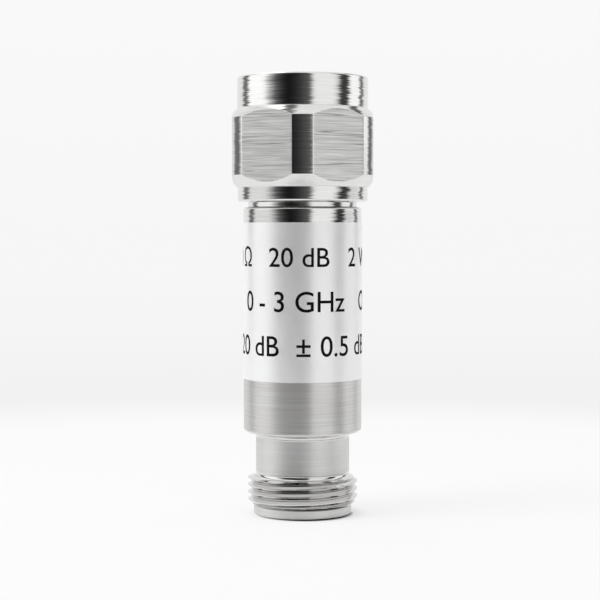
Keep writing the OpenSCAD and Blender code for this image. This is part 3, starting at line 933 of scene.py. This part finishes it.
def bearing_ramp(tree, spot, stops):
    """Grey levels round the axis, at bearings in degrees from the front towards the right."""
    bearing = reckon(tree, "ARCTAN2", spot["X"], reckon(tree, "MULTIPLY", spot["Y"], -1))
    share = reckon(tree, "MULTIPLY_ADD", bearing, 1 / math.tau, 0.5)
    return add_ramp(tree, share, [(turn / 360 + 0.5, level) for turn, level in stops])


card_points = []
for turn in range(card_cover[0][0], card_cover[-1][0] + 1, card_step):
    side = math.radians(turn)
    for height in (card_low, card_high):
        card_points.append((card_r * math.sin(side), -card_r * math.cos(side), height))
card_mesh = bpy.data.meshes.new("black_card")
card_mesh.from_pydata(card_points, [], [(i, i + 2, i + 3, i + 1)
                                        for i in range(0, len(card_points) - 2, 2)])
card = add_object("black_card", card_mesh)
card.visible_camera = card.visible_diffuse = card.visible_shadow = False
card_black, tree = bare_material("card_black")
cover = bearing_ramp(tree, split(tree, object_place(tree)), card_cover)
matt = tree.nodes.new("ShaderNodeBsdfDiffuse")
matt.inputs["Color"].default_value = (0.01, 0.01, 0.01, 1)
mix_surface(tree, cover, tree.nodes.new("ShaderNodeBsdfTransparent").outputs["BSDF"], matt.outputs["BSDF"])
card_mesh.materials.append(card_black)


# Studio light
# Boards stand round the table under a ceiling that is brightest at the left and has two dark gaps. A
# soft lamp at the upper left casts a faint shadow. The camera itself sees only the pale backdrop.
boards = [(-180, 0.92), (-131, 0.92), (-125, 0.18), (-113, 0.18), (-106, 1.3), (-77, 1.3), (-70, 1.22),
          (-60, 0.57), (-48, 0.12), (-36, 0.03), (-25, 0.008), (-14, 0.02), (-5, 0.04), (4, 0.08),
          (12.5, 0.11), (20.5, 1.0), (55, 1.02), (64, 0.75), (70, 0.05), (86, 0.05), (92, 1.2),
          (116, 1.2), (121, 0.15), (128, 0.15), (136, 0.92), (180, 0.92)]
ceiling_gaps = [(-0.21, 0.0, 0.978), (0.513, 0.542, 0.666)]
gap_edge, gap_inner = math.cos(math.radians(8)), math.cos(math.radians(4))
gap_colour = (0.12, 0.12, 0.12)
ceiling_left, ceiling_bright, ceiling_right = 0.85, 1.8, 0.95
bright_from, bright_to = (-0.5, -0.4), (-0.28, -0.1)
wall_tilt = 0.2
wall_top, ceiling_from = 0.65, 0.86
side_from, side_full = 0.85, 0.95
foot_low, foot_high, foot_dark = 0.01, 0.065, 0.4
backdrop_tones = [(0, horizon), (0.12, 0.945)]
studio = bpy.data.worlds.new("studio")
scene.world = studio
studio.use_nodes = True
tree = studio.node_tree
tree.nodes.clear()
sky_place = tree.nodes.new("ShaderNodeTexCoord").outputs["Generated"]
toward = split(tree, sky_place)
beside = grade(tree, reckon(tree, "ABSOLUTE", toward["X"]), side_from, side_full)
foot = grade(tree, toward["Z"], foot_low, foot_high, foot_dark, 0)
kept = reckon(tree, "SUBTRACT", 1, reckon(tree, "MULTIPLY", beside, foot))
walls = vector_step(tree, "SCALE", bearing_ramp(tree, toward, boards), scale=kept)
ceiling = reckon(tree, "MINIMUM", grade(tree, toward["X"], *bright_from, ceiling_left, ceiling_bright),
                 grade(tree, toward["X"], *bright_to, ceiling_bright, ceiling_right))
leaning = reckon(tree, "MULTIPLY_ADD", toward["Y"], wall_tilt, toward["Z"])
room = blend_colours(tree, grade(tree, leaning, wall_top, ceiling_from), walls, ceiling)
for middle in ceiling_gaps:
    overhead = vector_step(tree, "DOT_PRODUCT", sky_place, middle)
    room = blend_colours(tree, grade(tree, overhead, gap_edge, gap_inner), room, gap_colour)
backdrop = add_ramp(tree, toward["Z"], backdrop_tones)
camera_ray = tree.nodes.new("ShaderNodeLightPath").outputs["Is Camera Ray"]
sky = tree.nodes.new("ShaderNodeBackground")
tree.links.new(blend_colours(tree, camera_ray, room, backdrop), sky.inputs["Color"])
tree.links.new(sky.outputs["Background"], tree.nodes.new("ShaderNodeOutputWorld").inputs["Surface"])

lamp_data = bpy.data.lights.new("soft_lamp", "AREA")
lamp_data.size = 0.22
lamp_data.energy = 1.0
lamp_aim = Vector((0, 0, 0.02))
lamp = add_object("soft_lamp", lamp_data)
lamp.location = (-0.3, -0.12, 0.4)
lamp.rotation_euler = (lamp_aim - lamp.location).to_track_quat("-Z", "Y").to_euler()
lamp.visible_glossy = False


# Camera
# A long lens a little above the middle of the part, tipped down slightly.
image_w = 600
focal_px = 1640
axis_px = 302.6
tipped = 2.51
camera_data = bpy.data.cameras.new("camera")
camera_data.sensor_width = 36
camera_data.lens = camera_data.sensor_width * focal_px / image_w
camera_data.clip_start = 0.01
camera = add_object("camera", camera_data)
camera.location = (0, -0.2366, 0.0412)
camera.rotation_euler = (math.radians(90 - tipped), 0, math.atan((axis_px - image_w / 2) / focal_px))
scene.camera = camera
scene.view_settings.view_transform = "Standard"
